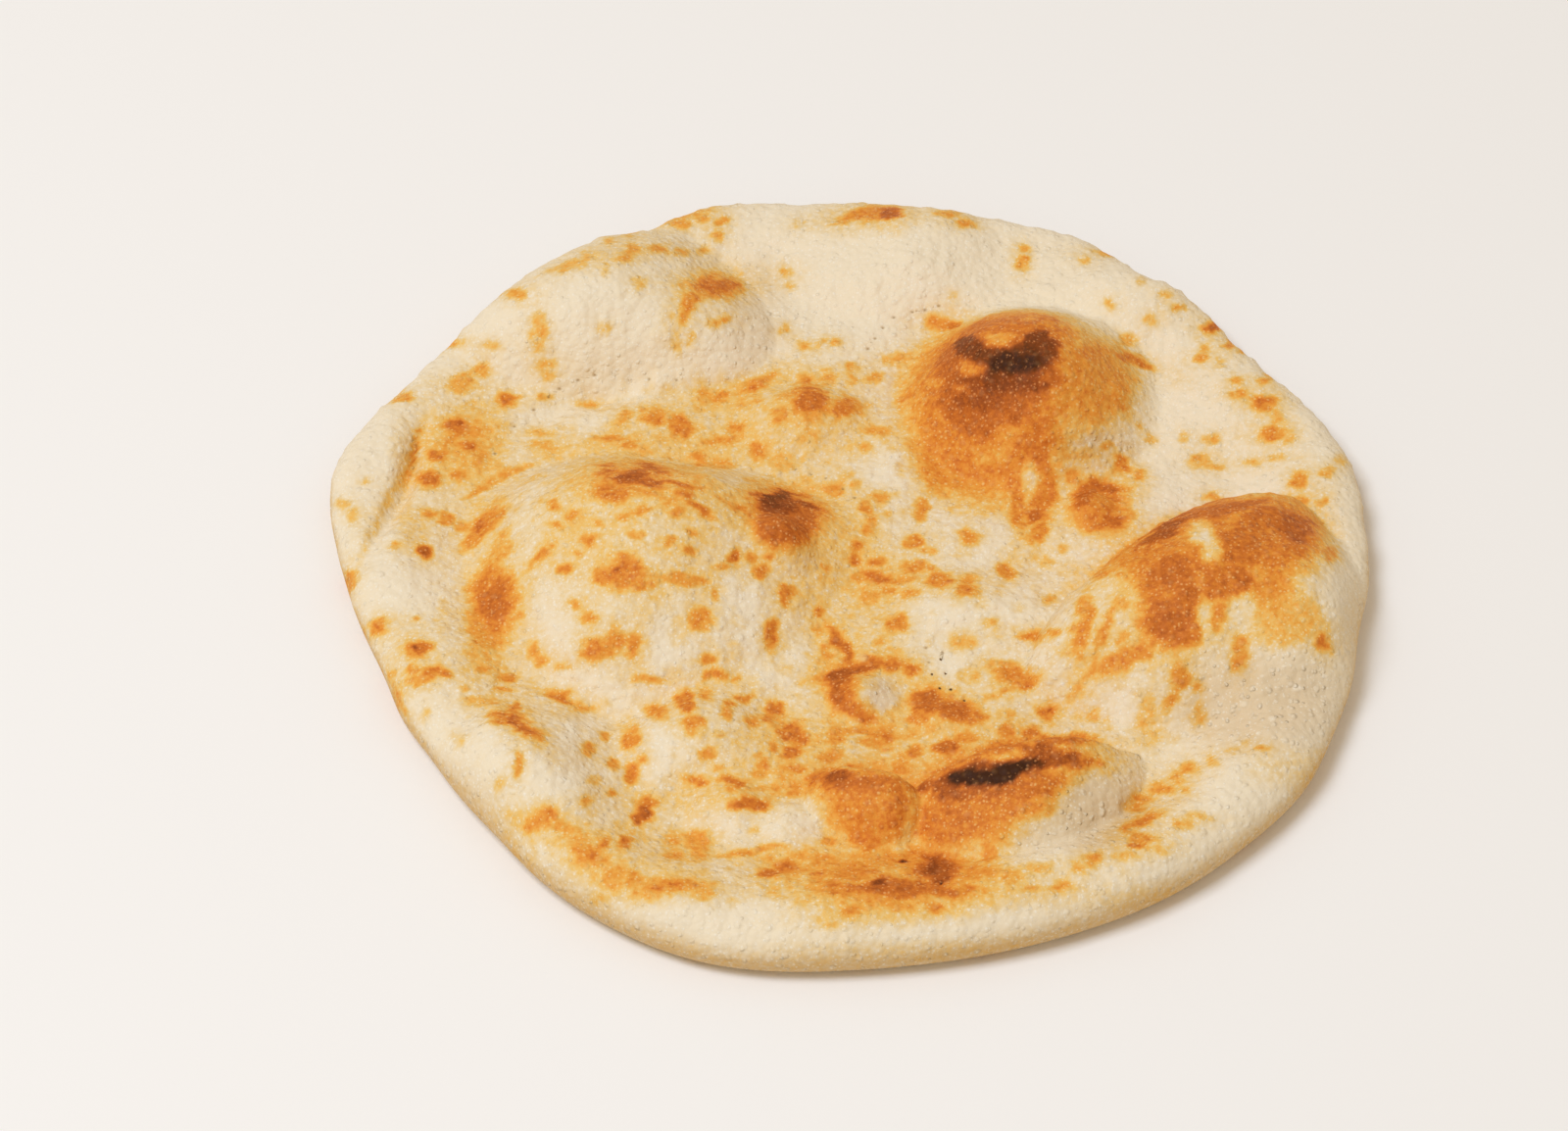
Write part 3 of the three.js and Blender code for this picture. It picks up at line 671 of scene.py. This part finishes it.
def browning(view, ragged):
    """Bake level: marks, full inside and soft at their ragged edges, joined as a high power mean, and halos.

    A halo falls off as a bell with the distance outside its mark, and the halos add up where marks crowd.
    Last, the pale islands take their shares of the level away.
    """
    across, down, _ = view
    total = np.zeros(len(across))
    halo = np.zeros(len(across))
    for inside, middle, width, length, level in browned_marks(across, down):
        gate = sight_gate(view, middle, length)
        soft = MARK_SOFT + MARK_SOFT_SHARE * width
        level = level + SMALL_MARK_DEEPER * (length < SMALL_MARK)
        share = smooth_step(-soft, soft, inside + MARK_GROWTH + ragged * min(1.0, width / RAGGED_SIZE))
        total += (level * share * gate) ** MARK_JOIN
        reach = HALO_REACH + HALO_REACH_SHARE * min(width, HALO_SIZE_MOST)
        halo += HALO_LEVEL * level * gate * np.exp(-((np.minimum(inside, 0) / reach) ** 2))
    bake = total ** (1 / MARK_JOIN)
    halo = HALO_MOST * (1 - np.exp(-halo / HALO_MOST))
    bake += halo * np.clip(1 - bake / HALO_LOST_AT, 0, 1)
    for island in PALE_ISLANDS:
        soft = MARK_SOFT + MARK_SOFT_SHARE * min(island[2:4])
        share = smooth_step(-soft, soft, in_spot(across, down, island) + ragged * ISLAND_RAGGED)
        bake *= 1 - island[4] * share * sight_gate(view, island[:2], max(island[2:4]))
    return bake


def soft_areas(view, areas):
    """Wide soft areas: each strength times a smooth step over its ellipse, joined by the largest."""
    across, down, _ = view
    total = np.zeros(len(across))
    for area in areas:
        gate = sight_gate(view, area[:2], max(area[2:4]))
        inside = in_spot(across, down, area) / min(area[2:4])
        total = np.maximum(total, area[4] * gate * smooth_step(*AREA_FADE, inside))
    return total


def nearest_offset(view, marks):
    """From the nearest mark's middle to each point, as a share of its radius, and far off where none is seen.

    The third part is the mark's least share, which keeps a shallow one from its full depth, and
    grows far outside.
    """
    across, down, _ = view
    offset = np.full((len(across), 3), OFFSET_NONE)
    for at_across, at_down, size, least in marks:
        u = 2 * (across - at_across) / size
        v = 2 * (down - at_down) / (size * math.sin(VIEW_ELEVATION))
        away = np.hypot(u, v)
        nearer = away < np.linalg.norm(offset[:, :2], axis=1)
        nearer &= sight_gate(view, (at_across, at_down), size) > 0.5
        outside = OFFSET_FADE * np.maximum(0, away - OFFSET_FADE_FROM)
        offset[nearer] = np.stack([u, v, least + outside], axis=1)[nearer]
    return offset


def linear(hex_colour):
    """An sRGB hex colour as linear red, green, blue and alpha."""
    parts = [int(hex_colour[i : i + 2], 16) / 255 for i in (1, 3, 5)]
    return (*[p / 12.92 if p <= 0.04045 else ((p + 0.055) / 1.055) ** 2.4 for p in parts], 1)


def add_node(material, kind, settings=None, values=None, links=None):
    """Adds a shader node: settings are its properties, values its inputs' values, links their sources."""
    node = material.node_tree.nodes.new("ShaderNode" + kind)
    for name, value in (settings or {}).items():
        setattr(node, name, value)
    for name, value in (values or {}).items():
        node.inputs[name].default_value = value
    for name, source in (links or {}).items():
        material.node_tree.links.new(source, node.inputs[name])
    return node


def per_mm(size):
    """Texture scale, in repeats a metre, for a pattern whose cells are that many millimetres across."""
    return 1 / (size * MM)


# The crust's colour by its bake level, and that of the tops of pimples by the level of the crust round them:
# partly their own paler colour, partly a painted glint.
BAKE_COLOURS = [
    (0.00, "#f3e8d2"), (0.10, "#edd3a2"), (0.22, "#eec472"), (0.36, "#efb254"), (0.46, "#eca344"),
    (0.57, "#e69237"), (0.66, "#d97d2e"), (0.76, "#c26927"), (0.86, "#9a4e1f"), (0.94, "#6f3a17"),
    (1.00, "#432411"),
]
PIMPLE_AND_GLINT_COLOURS = [(0.0, "#fbf2de"), (0.3, "#f6daa2"), (0.6, "#f2ca90"), (0.8, "#e5b27e"), (1.0, "#b98757")]
# Multiplied in where the skin is thin and greyish, and as painted shade on shaded flanks, the edge's side and
# the left rim's crease.
SKIN_AND_SHADE_TINT = "#e9dcca"
SKIN_AND_SHADE_SHARE = 0.9
BUBBLE_SHINE = "#6e6656"
BUBBLE_SHINE_MOST = 0.06
BUBBLE_TOP = (0.45, 0.1)
# Painted shade in the pinholes: tan in the dent, dark in the deep core.
HOLE_SHADE_COLOURS = {"holes": "#b48f58", "cores": "#5d3f22"}
# The crust's fine patterns, in millimetres. Real pimples are down to a few tenths of a millimetre, and these
# are drawn as coarse as they need to be to show. Noises: size, detail, roughness.
NOISES = {"mottle": (1.9, 4, 0.65), "grain": (0.9, 2, 0.55)}
BUBBLE_SPACING = 2.2
BUBBLE_SMOOTHNESS = 0.25
# Caps: spacing, and least and largest radius as a share of it. A noise pulls them out of round.
CAPS = {"pimple": (1.15, 0.15, 0.5), "pebble": (2.6, 0.2, 0.52)}
PULL_SIZE = 2.2
PULL_LENGTH = 0.9
PEBBLES_ON_THICK_SKIN = 0.45
# Where each raised or sunken part starts and where it is full, in its pattern's own measure.
FLANKS = {
    "specks": ("grain", 0.5, 0.68), "pimples": ("pimple", 1, 0.2), "pebbles": ("pebble", 1, 0.2),
    "blisters": ("blister", 1.1, 0.4), "holes": ("pinhole", 1.2, 0.2), "cores": ("pinhole", 0.75, 0.35),
}
SPECKS_IN_TOPS = 0.4
# How much paler the tops are, partly their own colour and partly a painted glint, and how the level changes
# with them and with the mottle.
PALER_TOPS_AND_GLINTS = {"pimples": 0.4, "pebbles": 0.3, "blisters": 0.35}
LEVEL_ROOM = 1.05
TOPS_LEVEL = -0.55
GROUND_LEVEL = 0.03
MOTTLE_RANGE = (0.35, 0.65)
MOTTLE_SWING = 0.7
# Heights in millimetres. The bubbles' height is counted from their middles outwards, so it is below 0.
GRAIN_HEIGHT = 0.05
HEIGHTS = {"bubbles": -0.38, "pimples": 0.06, "pebbles": 0.45, "blisters": 0.12, "holes": -0.2}
GROUND_ROUGHNESS = 0.55
TOPS_ROUGHNESS = 0.4
CRUST_IOR = 1.45
CRUST_SPECULAR_LEVEL = 0.1


def crust_patterns(crust, skin_and_shade):
    """The crust's fine patterns: noises, crowded low bubbles, and flat-topped caps of drawn radius in cells.

    A cap is a smooth step from its foot to its top, of the distance from its middle as a share of its radius.
    Pebbles are lower where the skin is thick, and the tops are the pimples with a share of the specks.
    """
    place = add_node(crust, "TexCoord").outputs["Object"]
    parts = {}
    for name, (size, detail, roughness) in NOISES.items():
        values = {"Scale": per_mm(size), "Detail": detail, "Roughness": roughness}
        parts[name] = add_node(crust, "TexNoise", {}, values, {"Vector": place}).outputs["Fac"]
    values = {"Scale": per_mm(BUBBLE_SPACING), "Smoothness": BUBBLE_SMOOTHNESS}
    bubbles = add_node(crust, "TexVoronoi", {"feature": "SMOOTH_F1"}, values, {"Vector": place})
    parts["bubbles"] = bubbles.outputs["Distance"]

    away = {"grain": parts["grain"]}
    pull = add_node(crust, "TexNoise", {}, {"Scale": per_mm(PULL_SIZE), "Detail": 1}, {"Vector": place})
    pulled = add_node(crust, "VectorMath", {"operation": "MULTIPLY_ADD"}, {1: (PULL_LENGTH * MM,) * 3},
                      {0: pull.outputs["Color"], 2: place}).outputs["Vector"]
    for name, (spacing, least, most) in CAPS.items():
        cells = add_node(crust, "TexVoronoi", {}, {"Scale": per_mm(spacing)}, {"Vector": pulled})
        drawn = add_node(crust, "SeparateColor", {}, {}, {"Color": cells.outputs["Color"]}).outputs["Red"]
        radius = add_node(crust, "MapRange", {}, {"To Min": least, "To Max": most}, {"Value": drawn})
        away[name] = add_node(crust, "Math", {"operation": "DIVIDE"}, {},
                              {0: cells.outputs["Distance"], 1: radius.outputs["Result"]}).outputs[0]
    for name in ("blister", "pinhole"):
        offset = add_node(crust, "Attribute", {"attribute_name": name}).outputs["Vector"]
        away[name] = add_node(crust, "VectorMath", {"operation": "LENGTH"}, {}, {0: offset}).outputs["Value"]
    smooth = {"interpolation_type": "SMOOTHSTEP"}
    for name, (pattern, start, full) in FLANKS.items():
        values = {"From Min": start, "From Max": full}
        parts[name] = add_node(crust, "MapRange", smooth, values, {"Value": away[pattern]}).outputs["Result"]
    crowded = add_node(crust, "MapRange", {}, {"To Min": PEBBLES_ON_THICK_SKIN}, {"Value": skin_and_shade})
    parts["pebbles"] = add_node(crust, "Math", {"operation": "MULTIPLY"}, {},
                                {0: parts["pebbles"], 1: crowded.outputs["Result"]}).outputs[0]
    parts["tops"] = add_node(crust, "Math", {"operation": "MULTIPLY_ADD"}, {1: SPECKS_IN_TOPS},
                             {0: parts["specks"], 2: parts["pimples"]}).outputs[0]
    return parts


def crust_level(crust, bake, mottle, tops):
    """Bake level with the fine patterns: bake + bake * room * (mottle * room - tops) + a little between tops.

    Room is what is left up to char, so the golden and orange levels break up most.
    """
    low, high = MOTTLE_RANGE
    swing = {"From Min": low, "From Max": high, "To Min": -MOTTLE_SWING, "To Max": MOTTLE_SWING}
    broken = add_node(crust, "MapRange", {"clamp": False}, swing, {"Value": mottle}).outputs["Result"]
    room = add_node(crust, "Math", {"operation": "SUBTRACT"}, {0: LEVEL_ROOM}, {1: bake}).outputs[0]
    broken = add_node(crust, "Math", {"operation": "MULTIPLY"}, {}, {0: broken, 1: room}).outputs[0]
    change = add_node(crust, "Math", {"operation": "MULTIPLY_ADD"}, {1: TOPS_LEVEL},
                      {0: tops, 2: broken}).outputs[0]
    room = add_node(crust, "Math", {"operation": "MULTIPLY"}, {}, {0: room, 1: bake}).outputs[0]
    level = add_node(crust, "Math", {"operation": "MULTIPLY_ADD"}, {},
                     {0: change, 1: room, 2: bake}).outputs[0]
    ground = add_node(crust, "MapRange", {}, {"To Min": GROUND_LEVEL, "To Max": 0},
                      {"Value": tops}).outputs["Result"]
    return add_node(crust, "Math", {"operation": "ADD"}, {}, {0: level, 1: ground}).outputs[0]


def crust_material():
    """Baked wheat crust: pale dough browning to char, dense pimples with paler tops that are partly a painted
    glint, and a faint gloss.
    """
    crust = bpy.data.materials.new("baked_wheat_crust")
    crust.use_nodes = True
    crust.node_tree.nodes.clear()
    bake = add_node(crust, "Attribute", {"attribute_name": "bake"}).outputs["Fac"]
    skin_and_shade = add_node(crust, "Attribute", {"attribute_name": "skin_and_shade"}).outputs["Fac"]
    parts = crust_patterns(crust, skin_and_shade)
    level = crust_level(crust, bake, parts["mottle"], parts["tops"])

    ramps = []
    for driver, colours in ((level, BAKE_COLOURS), (bake, PIMPLE_AND_GLINT_COLOURS)):
        ramp = add_node(crust, "ValToRGB", {}, {}, {"Fac": driver})
        stops = ramp.color_ramp.elements
        while len(stops) < len(colours):
            stops.new(0.5)
        for stop, (at, colour) in zip(stops, colours):
            stop.position = at
            stop.color = linear(colour)
        ramps.append(ramp.outputs["Color"])
    colour, pale = ramps
    # Thin skin greys the colour; the same tint is painted shade on shaded flanks, the edge's side and the
    # crease.
    thin_skin_and_shade = add_node(crust, "Math", {"operation": "MULTIPLY"}, {1: SKIN_AND_SHADE_SHARE}, {0: skin_and_shade}).outputs[0]
    colour = add_node(crust, "Mix", {"data_type": "RGBA", "blend_type": "MULTIPLY"},
                      {"B": linear(SKIN_AND_SHADE_TINT)}, {"Factor": thin_skin_and_shade, "A": colour}).outputs["Result"]
    foot, top = BUBBLE_TOP
    shine = add_node(crust, "MapRange", {}, {"From Min": foot, "From Max": top, "To Max": BUBBLE_SHINE_MOST},
                     {"Value": parts["bubbles"]}).outputs["Result"]
    colour = add_node(crust, "Mix", {"data_type": "RGBA", "blend_type": "SCREEN"},
                      {"B": linear(BUBBLE_SHINE)}, {"Factor": shine, "A": colour}).outputs["Result"]
    # The tops drawn paler: partly their own colour, partly a painted glint.
    for name, share in PALER_TOPS_AND_GLINTS.items():
        paler_and_glint = add_node(crust, "Math", {"operation": "MULTIPLY"}, {1: share}, {0: parts[name]}).outputs[0]
        colour = add_node(crust, "Mix", {"data_type": "RGBA"}, {},
                          {"Factor": paler_and_glint, "A": colour, "B": pale}).outputs["Result"]
    # Painted shade in the pinholes.
    for name, hole_shade in HOLE_SHADE_COLOURS.items():
        colour = add_node(crust, "Mix", {"data_type": "RGBA"}, {"B": linear(hole_shade)},
                          {"Factor": parts[name], "A": colour}).outputs["Result"]

    rise = add_node(crust, "Math", {"operation": "MULTIPLY"}, {1: GRAIN_HEIGHT},
                    {0: parts["grain"]}).outputs[0]
    for name, height in HEIGHTS.items():
        rise = add_node(crust, "Math", {"operation": "MULTIPLY_ADD"}, {1: height},
                        {0: parts[name], 2: rise}).outputs[0]
    bump = add_node(crust, "Bump", {}, {"Strength": 1, "Distance": MM}, {"Height": rise}).outputs["Normal"]
    rough = add_node(crust, "MapRange", {}, {"To Min": GROUND_ROUGHNESS, "To Max": TOPS_ROUGHNESS},
                     {"Value": parts["tops"]}).outputs["Result"]
    shader = add_node(crust, "BsdfPrincipled", {},
                      {"IOR": CRUST_IOR, "Specular IOR Level": CRUST_SPECULAR_LEVEL},
                      {"Base Color": colour, "Roughness": rough, "Normal": bump}).outputs["BSDF"]
    add_node(crust, "OutputMaterial", {}, {}, {"Surface": shader})
    return crust


def crust_levels(points, normals, random):
    """Bake, and thin skin with painted shade, at each point: the marks, drifting and ragged, over a golden
    and freckled ground.

    The ground gives way where the marks are brown. The edge's side turns golden and darker, partly its own
    colour and partly painted shade, and the underside gets toasted spots of its own in place of what the top
    shows.
    """
    across, down, distance = seen_in_photo(points)
    across = across + drawn_waves(points, DRIFT_ACROSS, random)
    down = down + drawn_waves(points, DRIFT_DOWN, random)
    view = across, down, distance
    bake = browning(view, drawn_waves(points, RAGGED_EDGES, random))
    freckles = scattered_caps(points, FRECKLES, random)
    # Thin skin, and painted shade on the domes' shaded flanks and in the left rim's crease.
    thin_skin_and_shade = soft_areas(view, SKIN_AND_SHADE)
    # The edge's side: partly its own golden colour, partly painted shade.
    side = smooth_step(*SIDE_FACING, normals[:, 2])
    # Golden ground, with painted shade low on the rim and on the golden dome's right flank.
    golden = soft_areas(view, GOLDEN_AND_SHADE) + soft_areas(view, FRECKLED) * freckles
    golden = golden * (1 - THIN_LESS_GOLDEN * thin_skin_and_shade) + SIDE_GOLDEN_AND_SHADE * side
    bake += golden * np.clip(1 - bake / GOLDEN_LOST_AT, 0, 1)
    below = smooth_step(*UNDER_FACING, normals[:, 2])
    bake += below * (UNDER_LEVEL + scattered_caps(points, UNDER_SPOTS, random) - bake)
    return {"bake": np.clip(bake, 0, 1), "skin_and_shade": np.maximum(side, thin_skin_and_shade) * (1 - below)}


def outline_middle():
    """Middle of the box round the solid's outline, which has CAD_SEGMENTS points: the part's origin."""
    angle = 2 * math.pi * np.arange(CAD_SEGMENTS) / CAD_SEGMENTS
    rim = np.stack([np.cos(angle), np.sin(angle)]) * outline_radius(angle)
    return np.array([*(rim.max(axis=1) + rim.min(axis=1)) / 2, 0])


def make_bread():
    """The bread: its form with fine relief along the normals, and its levels and small marks as attributes.

    A pinhole or blister sinks or rises as a bell of the offset from its middle.
    """
    random = np.random.default_rng(SEED)
    points, quads, triangles = bread_form()
    normals = point_normals(points, quads, triangles)
    view = seen_in_photo(points)
    holes = [(*hole, SHALLOW_SHARE) for hole in SHALLOW_PINHOLES] + [(*hole, 0) for hole in DEEP_PINHOLES]
    raised = [(*blister, 0) for blister in BLISTERS]
    offsets = {"pinhole": nearest_offset(view, holes), "blister": nearest_offset(view, raised)}
    relief = drawn_waves(points, RELIEF_WAVES, random) + scattered_caps(points, RELIEF_CAPS, random)
    relief -= PINHOLE_DEPTH * np.exp(-(offsets["pinhole"] ** 2).sum(axis=1))
    relief += BLISTER_RISE * np.exp(-(offsets["blister"] ** 2).sum(axis=1))
    relief *= smooth_step(*RELIEF_FACING, normals[:, 2]) * smooth_step(*RELIEF_ABOVE, points[:, 2])
    points = points + normals * relief[:, None]
    levels = crust_levels(points, normals, random)

    mesh = bpy.data.meshes.new("bread")
    mesh.from_pydata((points - outline_middle()) * MM, [], [*quads.tolist(), *triangles.tolist()])
    mesh.polygons.foreach_set("use_smooth", np.ones(len(mesh.polygons), bool))
    for name, level in levels.items():
        attribute = mesh.attributes.new(name, "FLOAT", "POINT")
        attribute.data.foreach_set("value", level.astype(np.float32))
    for name, offset in offsets.items():
        attribute = mesh.attributes.new(name, "FLOAT_VECTOR", "POINT")
        attribute.data.foreach_set("vector", offset.astype(np.float32).ravel())
    mesh.update()
    bread = bpy.data.objects.new("bread", mesh)
    bpy.context.scene.collection.objects.link(bread)
    return bread


# The studio, in metres and watts.
FLOOR_REACH = 4
FLOOR_COLOUR = "#f8f7f5"
FLOOR_ROUGHNESS = 0.9
KEY_PLACE = (-1.15, -0.6, 2.7)
KEY_SIZE = 1.2
KEY_POWER = 52
KEY_COLOUR = "#e8f1ff"
FILL_COLOUR = "#ffefd8"
FILL_STRENGTH = 0.54


def make_floor():
    """A plain pale floor under the bread, in matt paint that hardly shines."""
    mesh = bpy.data.meshes.new("floor")
    corners = [(x * FLOOR_REACH, y * FLOOR_REACH, 0) for x, y in ((-1, -1), (1, -1), (1, 1), (-1, 1))]
    mesh.from_pydata(corners, [], [(0, 1, 2, 3)])
    paint = bpy.data.materials.new("matt_white_paint")
    paint.use_nodes = True
    shader = paint.node_tree.nodes["Principled BSDF"]
    shader.inputs["Base Color"].default_value = linear(FLOOR_COLOUR)
    shader.inputs["Roughness"].default_value = FLOOR_ROUGHNESS
    mesh.materials.append(paint)
    floor = bpy.data.objects.new("floor", mesh)
    bpy.context.scene.collection.objects.link(floor)


def make_lights():
    """A square soft box turned to the bread, and an even warm light from all round."""
    light = bpy.data.lights.new("key", "AREA")
    light.size = KEY_SIZE
    light.energy = KEY_POWER
    light.color = linear(KEY_COLOUR)[:3]
    box = bpy.data.objects.new("key", light)
    box.location = KEY_PLACE
    box.rotation_euler = (-Vector(KEY_PLACE)).to_track_quat("-Z", "Y").to_euler()
    bpy.context.scene.collection.objects.link(box)
    world = bpy.data.worlds.new("studio")
    world.use_nodes = True
    background = world.node_tree.nodes["Background"]
    background.inputs["Color"].default_value = linear(FILL_COLOUR)
    background.inputs["Strength"].default_value = FILL_STRENGTH
    bpy.context.scene.world = world


def make_camera():
    """The camera where the photograph was taken from."""
    camera = bpy.data.objects.new("camera", bpy.data.cameras.new("camera"))
    camera.data.sensor_width = SENSOR_WIDTH
    camera.data.lens = LENS
    back = np.array((0, -math.cos(VIEW_ELEVATION), math.sin(VIEW_ELEVATION)))
    camera.location = (VIEW_TARGET - outline_middle() + back * VIEW_DISTANCE) * MM
    camera.rotation_euler = (math.pi / 2 - VIEW_ELEVATION, 0, 0)
    bpy.context.scene.collection.objects.link(camera)
    bpy.context.scene.camera = camera


bread = make_bread()
bread.data.materials.append(crust_material())
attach(bread, "root")
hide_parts("naan")

make_floor()
make_camera()
make_lights()
bpy.context.scene.view_settings.view_transform = "Standard"
